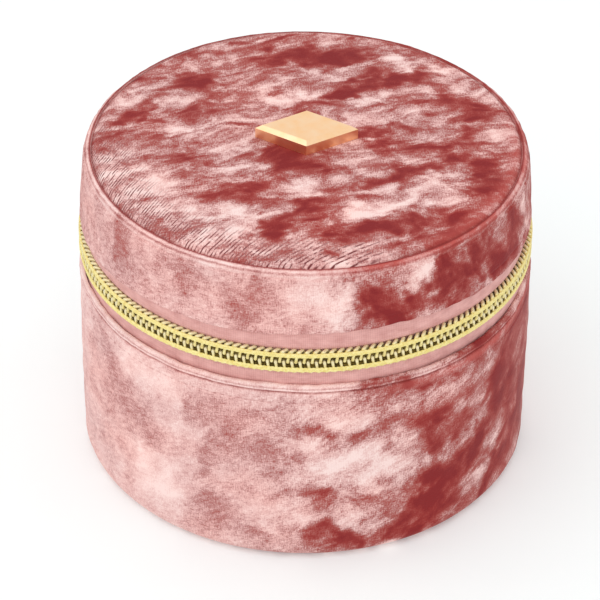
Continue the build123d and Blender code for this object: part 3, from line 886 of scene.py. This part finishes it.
def coil_side(sign):
    """Flattened helix of one side of the chain; sign is +1 for the upper side."""
    upper = sign > 0
    count = int(2 * COIL_END * COIL_R / COIL_PITCH)
    step = 2 * COIL_END / count
    first = -COIL_END + (0.5 * step if upper else 0)
    back, tip = CHAIN_HALF - WIRE, 0.2 if upper else -0.1
    # Painted highlights: how white the wire heads and sides are, stronger on the lower side.
    tip_glint, side_glint = (0.15, 0.1) if upper else (0.6, 0.6)
    back_wire = WIRE * (1.25 if upper else 1.0)
    half = (OUTER_LAYER - INNER_LAYER) / 2
    lean = 0.2
    # One turn: (share of pitch, distance from the chain's middle, depth, radius, painted highlight).
    one = []
    for t in np.linspace(0, 1, 5):
        one.append((-0.03 + 0.03 * t, back - 0.2 - (back - 0.35) * t, -half, WIRE, 0.3))
    for t in np.linspace(0.15, 0.85, 6):
        rise, depth = math.sin(PI * t), -half * math.cos(PI * t)
        one.append((0.02 * t, 0.15 - (tip + 0.15) * rise, depth, WIRE * 1.15, tip_glint))
    for t in np.linspace(0, 1, 6):
        wire, glint = WIRE * (1.05 - 0.1 * t), side_glint * (1 - t) ** 2
        one.append((0.02 + lean * t, 0.15 + (back - 0.2) * t, half, wire, glint))
    for t in np.linspace(0.2, 0.85, 6):
        turn, depth = lean + 0.02 + (0.95 - lean) * t, half * math.cos(PI * t)
        one.append((turn, back - 0.05 + 0.1 * math.sin(PI * t), depth, back_wire, 0.5))
    one = np.array(one)
    path, radii, glint = [], [], []
    for i in range(count):
        a = first + (i + one[:, 0]) * step
        path.append(around(a, COIL_R + one[:, 2], CHAIN_Z + sign * one[:, 1]))
        radii.append(one[:, 3])
        glint.append(one[:, 4])
    return [(np.vstack(path), np.concatenate(radii), np.concatenate(glint))], first, step, count


def thread_rows(sign, step, count, first):
    """Plait of sewing thread that holds the coil to the tape."""
    rows = []
    a = np.linspace(-COIL_END, COIL_END, count * 8)
    phase = (a - first) / step * 2 * PI
    inward = 0.12 if sign < 0 else 0
    for row_z, spread in ((2.3 - inward, 0.1), (2.0 - inward, 0.14), (1.72 - inward, 0.1)):
        for k in range(2):
            p = phase + k * PI + row_z * 2
            z = CHAIN_Z + sign * (row_z + spread * np.sin(p))
            r = OUTER_LAYER + WIRE - 0.06 + 0.07 * np.cos(p)
            rows.append((around(a, r, z), 0.23))
    return rows


def core_cord(sign):
    """Cord that the coil is wound round, in two strands: distance from the middle, and radius.
    Partly real, partly painted shade: its dark colour stands in for the shade in the chain's gaps.
    """
    a = np.linspace(-COIL_END, COIL_END, 320)
    strands = (1.45, 0.5), (0.6, 0.42)
    return [(around(a, COIL_R - 0.1, CHAIN_Z + sign * out), radius) for out, radius in strands]


def zip_chain():
    low_tape = tape("lower_tape", TAPE_LOW, CHAIN_Z - 0.12)
    dress(low_tape, tape_cloth, "base", "zip_tape", "lower_zip_tape")
    high_tape = tape("upper_tape", CHAIN_Z + 0.12, TAPE_HIGH)
    dress(high_tape, tape_cloth, None, "zip_tape", "upper_zip_tape", "zip_tail_tapes")
    bend(high_tape, *TAPE_BEND)
    for sign, label in ((-1, "lower"), (1, "upper")):
        paths, first, step, count = coil_side(sign)
        coil = tube(label + "_coil", paths, sides=8)
        threads = tube(label + "_coil_thread", thread_rows(sign, step, count, first), sides=6)
        cord = tube(label + "_coil_cord", core_cord(sign), sides=6)
        nodes = ["lower_zip_coil"] if sign < 0 else ["upper_zip_coil", "zip_tail_coils"]
        body = "base" if sign < 0 else None
        dress(coil, coil_metal, body, "zip_coil", *nodes)
        dress(threads, coil_thread, body, "zip_coil")
        dress(cord, cord_and_shade_cloth, body, "zip_coil")
        if sign > 0:
            for piece in (coil, threads, cord):
                bend(piece, *CHAIN_BEND)


zip_chain()


# ---- hinge, slider and ornament ----

FOLD_HALF = 3.5
LAP = math.radians(1.6)
HEM = 2.2


def bevel(node, width):
    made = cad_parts[node].modifiers.new("bevel", "BEVEL")
    made.width = width * MM
    made.segments = 3
    made.limit_method = "ANGLE"
    made.angle_limit = math.radians(40)
    made.harden_normals = False


def show_cad(material, *nodes):
    """CAD solids that are seen as they are, in this material."""
    for node in nodes:
        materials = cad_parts[node].data.materials
        materials.clear()
        materials.append(material)


def bend_fold(piece):
    """Passes a fold FOLD_HALF either side of the split to bend(), which only bakes the strip's transform.
    """
    low, high = (SPLIT_Z - FOLD_HALF) * MM, (SPLIT_Z + FOLD_HALF) * MM
    bend(piece, (0, HINGE_R * MM, low), (0, HINGE_R * MM, high))


def hinge_strip():
    """One velvet strip across the fold, its turned sides lapping over the ends of the tapes."""
    low, high = TAPE_LOW + 3, TAPE_HIGH - 1
    z = np.linspace(low, high, 60)
    step_out = smoothstep(z, BASE_TOP, BASE_TOP + 0.6) * (1 - smoothstep(z, BAND_LOW - 0.6, BAND_LOW))
    outer = np.stack([TAPE_R + 0.5 * step_out, z], -1)
    inner = upright(TAPE_R - TAPE_THICK, np.linspace(high, low, 30))
    edge = HINGE_HALF + LAP
    crush = ripple(51, 6)

    def shape(a, radius, z, s):
        side = abs(abs(a) - PI)
        fold = 0.25 * bump(z, SPLIT_Z, 0.5)
        inside = radius < TAPE_R - 0.2
        beyond = smoothstep(side, HINGE_HALF - 0.002, HINGE_HALF + 0.002)
        rim = smoothstep(side, HINGE_HALF + LAP * 0.55, edge)
        hem = 0.12 * bump(side * TAPE_R, edge * TAPE_R - HEM, 0.3)
        skin = 0.05 * crush(a * HINGE_R, z) - fold - 0.2 * rim - hem
        return np.where(inside, 0.56 * beyond, np.where(radius > TAPE_R + 0.1, skin, 0)), 0 * z

    profile = np.vstack([outer, inner])
    strip = lathe("hinge_strip_cover", profile, HINGE_R, shape, 120, (PI - edge, PI + edge))

    # Painted shade at the strip's turned edge and along its hem's stitch line.
    def crease(x, y, z):
        inwards = edge * TAPE_R - abs(arc_length(x, -y, TAPE_R))
        return 0.7 * bump(inwards, 0, 0.25) + 0.6 * bump(inwards, HEM, 0.16) * stitch_holes(z, 1.9, 0.5)

    mark(strip, lay=lambda x, y, z: 0.04 + 0 * x, calm=lambda x, y, z: 0.45 + 0 * x, crease=crease)
    dress(strip, plain_velvet, None, "velvet", "hinge_strip_lower", "hinge_strip_upper")
    bend_fold(strip)


hinge_strip()
show_cad(slider_metal, "slider_body", "slider_bridge", "pull_link", "pull_tab", "zip_end_stops")
show_cad(badge_metal, "top_badge", "badge_posts")
show_cad(steel, "badge_washers")
show_cad(mirror_silver, "mirror_glass")
show_cad(foam_look, "base_side_foam", "lid_side_foam", "lid_top_foam")
show_cad(hidden_board, "base_wall_board", "base_floor_board", "lid_wall_board", "lid_top_board",
         "tray_floor", "mirror_backing")
for rounded, width in (("slider_body", 0.3), ("pull_tab", 0.3), ("top_badge", 0.22)):
    bevel(rounded, width)


# ---- inside ----

FLANGE_R = 52.0
LINING = 0.55
GROWN = 20.0
FRAMES = 20
OUT = 0.12 * MM
INTO = 0.55 * MM


def covered_ring(name, low_r, high_r, edge, body, node, seed):
    """Ring of covered board with rounded edges."""
    low, high = heights(node)
    e = edge
    profile = np.vstack([
        arc_points((high_r - e, low + e), e, -90, 0, 5),
        [(high_r, z) for z in np.linspace(low + e, high - e, 16)[1:-1]],
        arc_points((high_r - e, high - e), e, 0, 90, 6),
        arc_points((low_r + e, high - e), e, 90, 180, 6),
        [(low_r, z) for z in np.linspace(high - e, low + e, 16)[1:-1]],
        arc_points((low_r + e, low + e), e, 180, 270, 5),
    ])
    sway, crush = ripple(seed, 17), ripple(seed + 1, 5)

    def shape(a, radius, z, s):
        inward = np.where(radius < (low_r + high_r) / 2, 1, -1)
        u = a * low_r
        return 0.05 * (0.5 + 0.35 * sway(u, z) + 0.3 * crush(u, z)) * inward, 0 * z

    dress(lathe(name, profile, low_r, shape, 240), lining_suede, body, "lining", node)


def wall_lining(name, low, high, radius, node, body, seed):
    """Lining glued to the wall and turned out over the edge of the board."""
    side = 1 if high > low else -1
    wall = [(radius, z) for z in np.linspace(low, high - side * 0.9, 30)]
    turn = [
        (radius + 0.9 * (1 - math.cos(t)), high - side * 0.9 * (1 - math.sin(t)))
        for t in np.linspace(0.2, PI / 2, 6)
    ]
    behind = radius + LINING
    back = [
        (FLANGE_R, high), (FLANGE_R, high - side * LINING), (behind + 0.5, high - side * LINING),
        (behind, high - side * 1.4), (behind, low),
    ]
    sway, crush = ripple(seed, 21), ripple(seed + 1, 6)

    def shape(a, r, z, s):
        u = a * radius
        inner = 1 - smoothstep(r, radius + 0.05, radius + 0.5)
        seam = 0.3 * (bump(u, 2.0 * radius, 0.4) + bump(u, -2.0 * radius, 0.4))
        return inner * (0.1 + 0.06 * sway(u, z) + 0.04 * crush(u, z) + seam), 0 * z

    made = lathe(name, (wall + turn + back)[::-side], radius, shape, 300)
    dress(made, lining_suede, body, "lining", node)


def soft_disc(name, radius, node, body, seed, crown):
    """Covered pad with a rounded rim and shallow creases."""
    low, high = heights(node)
    swell, crush = ripple(seed, 14), ripple(seed + 1, 5)

    def height(x, y, share):
        rim = (high - low) * 0.6 * smoothstep(share, 0.93, 1.0) ** 1.6
        soft = 0.08 * swell(x, y) * (1 - share) + 0.05 * crush(x, y) * (1 - share**8)
        return high - crown * share**2 - rim + soft

    rings, steps = 60, 200
    made = disc_mesh(name, radius, height, rings, steps, thickness=0.4)
    half = rings * steps
    for i in [1, *range(2 + half, 2 + 2 * half)]:
        made.data.vertices[i].co.z = low * MM
    made.data.update()
    return dress(made, lining_suede, body, "lining", node)


def vectors(items, name):
    """One vector from each item of a mesh's collection."""
    values = np.empty(3 * len(items))
    items.foreach_get(name, values)
    return values.reshape(-1, 3)


def stuffed(piece, ease):
    """Fills a closed cloth shape by cloth simulation; ease is the share of spare cloth, which wrinkles.

    The shape is simulated GROWN times as large. Along its normal no point moves more than OUT or INTO.
    """
    trial = put_in_scene("trial", piece.data.copy())
    trial.data.transform(Matrix.Scale(GROWN, 4))
    cloth = trial.modifiers.new("cloth", "CLOTH")
    settings = cloth.settings
    settings.quality = 6
    settings.mass = 0.3
    settings.tension_stiffness = settings.compression_stiffness = 12
    settings.shear_stiffness = 4
    settings.bending_stiffness = 0.4
    settings.use_pressure = True
    settings.uniform_pressure_force = 4.0
    settings.shrink_min = -ease
    settings.effector_weights.gravity = 0
    cloth.collision_settings.use_collision = False
    cloth.point_cache.frame_start, cloth.point_cache.frame_end = 1, FRAMES
    scene = bpy.context.scene
    for number in range(1, FRAMES + 1):
        scene.frame_set(number)
    settled = trial.evaluated_get(bpy.context.evaluated_depsgraph_get()).data
    mesh = piece.data
    moved, rest = vectors(settled.vertices, "co") / GROWN, vectors(mesh.vertices, "co")
    normal = vectors(mesh.vertex_normals, "vector")
    along = np.sum((moved - rest) * normal, axis=1)
    along = np.clip(along - np.median(along), -INTO, OUT)
    mesh.vertices.foreach_set("co", (rest + normal * along[:, None]).ravel())
    mesh.update()
    scene.frame_set(1)
    bpy.data.objects.remove(trial)


def ring_roll(index, node):
    """Stuffed roll with gathered ends and a sewn seam along its lower front."""
    low, high = corners(node)
    half, r = high.x, (high.y - low.y) / 2
    cy, cz = (low.y + high.y) / 2, (low.z + high.z) / 2
    body = np.linspace(-half + 3, half - 3, int((2 * half - 6) / 1.1))
    xs = np.concatenate([np.linspace(-half, -half + 2.5, 8), body, np.linspace(half - 2.5, half, 8)])
    sides = 36
    turn = circle(sides)
    x, t = np.meshgrid(xs, turn, indexing="ij")
    gap = (half - abs(x)) / 2.2
    shape = np.sqrt(np.clip(1 - np.clip(1 - gap, 0, 1) ** 2.4, 0, 1)) * 0.97 + 0.02
    pleats = 1 + 0.06 * np.sin(11 * t + index) * np.clip(1 - gap, 0, 1) * np.clip(gap * 3, 0, 1)
    sway, crush = ripple(80 + index, 16), ripple(90 + index, 5)
    radius = (r - 0.12) * shape * pleats + 0.1 * sway(x, t * r) * shape + 0.05 * crush(x, t * r) * shape
    radius -= 0.35 * bump(t * r, 4.0 * r, 0.5) * shape
    points = np.stack([x, cy + radius * np.cos(t), cz + radius * np.sin(t)], -1).reshape(-1, 3)
    first, last = end_caps(len(xs), sides)
    faces = grid_faces(len(xs), sides, False, True)[0].tolist() + [first[::-1], last]
    made = new_object("ring_roll_pad_%d" % index, points, faces)
    made.data.flip_normals()
    stuffed(made, 0.14)
    smooth = made.modifiers.new("smooth", "SUBSURF")
    smooth.levels = smooth.render_levels = 1
    dress(made, roll_suede, "tray", "lining", node)


def covered_board(name, start, end, thick, node):
    """Upright covered board between two points, with a rounded upper edge."""
    low, high = heights(node)
    start, end = np.array(start, float), np.array(end, float)
    length = np.linalg.norm(end - start)
    along = (end - start) / length
    across = np.array([along[1], -along[0]])
    h = thick / 2
    side = [(-h, z) for z in np.linspace(low, high - h, 12)[:-1]]
    top = [(-h * math.cos(t), high - h + h * math.sin(t)) for t in np.linspace(0, PI, 11)]
    profile = np.array(side + top + [(-o, z) for o, z in side[::-1]])
    steps = max(6, int(length / 1.2))
    crush = ripple(int(abs(length) * 7) % 97, 6)
    points = []
    for p in np.linspace(0, length, steps + 1):
        for o, z in profile:
            wave = 0.04 * crush(p, z) * (1 if o < 0 else -1)
            points.append((*(start + along * p + across * (o * 0.96 + wave)), z))
    first, last = end_caps(steps + 1, len(profile))
    faces = grid_faces(steps + 1, len(profile), False, True)[0].tolist() + [first, last[::-1]]
    made = new_object(name, points, faces)
    if end[0] >= start[0]:
        made.data.flip_normals()
    dress(made, lining_suede, "tray", "lining", node)


def lift_loops():
    """Two folded satin ribbons, sewn to the tray's wall."""
    z0, top = heights("tray_lift_loops")
    z1 = top - 0.2
    radius, thick, gap = 45.9, 0.22, 0.16
    span = math.radians(5)
    outer = [(gap, z) for z in np.linspace(z0, z1 - 1, 16)]
    bend = [(gap * math.cos(t) * 1.2, z1 - 1 + math.sin(t)) for t in np.linspace(0.1, PI - 0.1, 12)]
    inner = [(-gap, z) for z in np.linspace(z1 - 1, z0 + 1.5, 16)]
    line = np.array(outer + bend + inner)
    step = np.gradient(line, axis=0)
    step /= np.linalg.norm(step, axis=1)[:, None]
    normal = np.stack([-step[:, 1], step[:, 0]], -1) * thick / 2
    out, z = np.vstack([line + normal, (line - normal)[::-1]]).T
    columns, n = 13, len(out)
    quads, k, j = grid_faces(columns, n, False, True)
    cloth = np.stack([
        np.stack([k, k + 1, k + 1, k], -1) * 0.67, np.stack([j, j, j + 1, j + 1], -1) * 0.7,
    ], -1).reshape(-1, 2).tolist() + [[0, 0]] * (2 * n)
    points, faces, uvs = [], [], []
    for turn in (math.radians(70), math.radians(-70)):
        base = len(points)
        for a in np.linspace(turn - span, turn + span, columns):
            rise = 0.35 * math.cos((a - turn) / span * PI / 2) * smoothstep(z, z1 - 4, z1)
            points += around(a, radius + out, z - 0.35 + rise).tolist()
        first, last = end_caps(columns, n, base)
        faces += (quads + base).tolist() + [first[::-1], last]
        uvs += cloth
    made = new_object("tray_lift_ribbons", points, faces, uvs)
    dress(made, ribbon_satin, "tray", "ribbon", "tray_lift_loops")


def mirror_surround():
    """Padded fabric ring that holds the mirror, gathered a little at its inner edge."""
    top = heights("mirror_frame")[1]
    inner, outer = 36.0, 48.45
    rim, mean = top - 0.05, 42
    t = np.linspace(0, PI, 28)
    middle, half = (inner + outer) / 2, (outer - inner) / 2
    face = np.stack([middle + half * np.cos(t), top - 1.3 - 1.85 * np.sin(t) ** 0.55], -1)
    profile = np.vstack([face, [(inner, top - 0.7), (37.7, top - 0.6), (37.8, rim), (outer, rim)]])
    sway, crush = ripple(101, 9), ripple(102, 3)

    def shape(a, r, z, s):
        fold = smoothstep(outer - r, 4, 11.5) * (z < top - 0.8)
        pleat = np.sin(a * 96 + 2 * np.sin(a * 7)) * 0.09 * fold
        soft = (z < top - 1.5) * (0.08 * sway(a * mean, r) + 0.05 * crush(a * mean, r))
        return 0 * r, soft + pleat

    ring = lathe("mirror_surround_pad", profile[::-1], mean, shape, 480)
    ring.data.flip_normals()
    dress(ring, lining_suede, "lid", "lining", "mirror_frame")


def tray_boards():
    low, high = corners("tray_divider_cross")
    y = (low.y + high.y) / 2
    ends = (low.x + 0.1, y), (high.x - 0.1, y)
    covered_board("tray_cross_board", *ends, high.y - low.y, "tray_divider_cross")
    for side in ("left", "right"):
        node = "tray_divider_" + side
        low, high = corners(node)
        x = (low.x + high.x) / 2
        ends = (x, low.y + 0.1), (x, high.y - 0.02)
        covered_board("tray_%s_board" % side, *ends, high.x - low.x, node)


def tray_floor():
    radius = corners("tray_floor_lining")[1].x
    cloth = soft_disc("tray_floor_cloth", radius - 0.1, "tray_floor_lining", "tray", 135, 0.05)


def hinge_cloth():
    """Lining over the fold of the hinge."""
    low, high = heights("hinge_lining_lower")[0], heights("hinge_lining_upper")[1]
    radius, mean = 51.4, 51.5
    z = np.linspace(low + 0.1, high - 0.1, 60)
    inner, outer = upright(radius, z), upright(radius + 0.6, z)[::-1]
    crush = ripple(141, 7)

    def shape(a, r, z, s):
        return 0.04 * crush(a * 51, z) + 0.2 * bump(z, SPLIT_Z, 0.8), 0 * z

    profile = np.vstack([inner, outer])[::-1]
    cloth = lathe("hinge_lining_cloth", profile, mean, shape, 60, (PI - HINGE_HALF, PI + HINGE_HALF))
    dress(cloth, lining_suede, None, "lining", "hinge_lining_lower", "hinge_lining_upper")
    bend_fold(cloth)


wall_lining("base_lining_cloth", 6.0, heights("base_wall_lining")[1], 49.3, "base_wall_lining", "base", 111)
lid_low, lid_high = heights("lid_wall_lining")
wall_lining("lid_lining_cloth", lid_high, lid_low, 48.7, "lid_wall_lining", "lid", 115)
soft_disc("base_floor_cushion", 45.7, "base_floor_pad", "base", 121, 0.6)
covered_ring("tray_rest_ring", 46.1, 49.0, 0.9, "base", "tray_support_ring", 125)
covered_ring("tray_wall_covered", 46.25, 47.75, 0.7, "tray", "tray_wall", 131)
tray_floor()
for number in (1, 2, 3, 4):
    ring_roll(number, "ring_roll_%d" % number)
tray_boards()
lift_loops()
mirror_surround()
hinge_cloth()


# ---- stage, light and camera ----

def stage():
    mesh = bpy.data.meshes.new("floor")
    half = 2.5
    square = [(-half, -half, 0), (half, -half, 0), (half, half, 0), (-half, half, 0)]
    mesh.from_pydata(square, [], [(0, 1, 2, 3)])
    floor = put_in_scene("floor", mesh)
    m = Nodes("paper_floor")
    mesh.materials.append(m.finish(
        Base_Color=m.mix(m.noise(m.place(), 40, 3), (0.79, 0.83, 0.83, 1), (0.81, 0.85, 0.85, 1)),
        Roughness=0.9, Emission_Color=(1, 1, 1, 1), Emission_Strength=0.17,
    ))
    world = bpy.data.worlds.new("studio")
    world.use_nodes = True
    background = world.node_tree.nodes["Background"]
    background.inputs[0].default_value = (1, 1, 1, 1)
    background.inputs[1].default_value = 0.95
    bpy.context.scene.world = world


def key_light():
    """Large soft lamp, high at the front left."""
    data = bpy.data.lights.new("key", "AREA")
    data.shape = "DISK"
    data.size = 1.2
    data.energy = 2.8
    lamp = put_in_scene("key", data)
    lamp.location = Vector((-0.35, -0.55, 0.95))
    aim = Vector((0, 0, 0.04)) - lamp.location
    lamp.rotation_euler = aim.to_track_quat("-Z", "Y").to_euler()


def camera():
    """Long lens from the front, looking down on the case, turned a little about its axis."""
    elevation = math.radians(35.75)
    roll = 0.0119
    distance, aim_height = 748.4, 41.0
    toward = Vector((0, -math.cos(elevation), math.sin(elevation)))
    place = Vector((0, 0, aim_height * MM)) + toward * distance * MM
    level = Vector((1, 0, 0))
    upright = toward.cross(level)
    right = level * math.cos(roll) + upright * math.sin(roll)
    up = upright * math.cos(roll) - level * math.sin(roll)
    data = bpy.data.cameras.new("camera")
    data.sensor_width = 36
    data.lens = 185.9
    data.shift_x = -0.0081
    data.shift_y = -0.02733
    data.clip_start = 0.01
    seen = put_in_scene("camera", data)
    seen.matrix_world = Matrix(((*right, 0), (*up, 0), (*toward, 0), (*place, 1))).transposed()
    bpy.context.scene.camera = seen


stage()
key_light()
camera()
bpy.context.scene.view_settings.view_transform = "Standard"
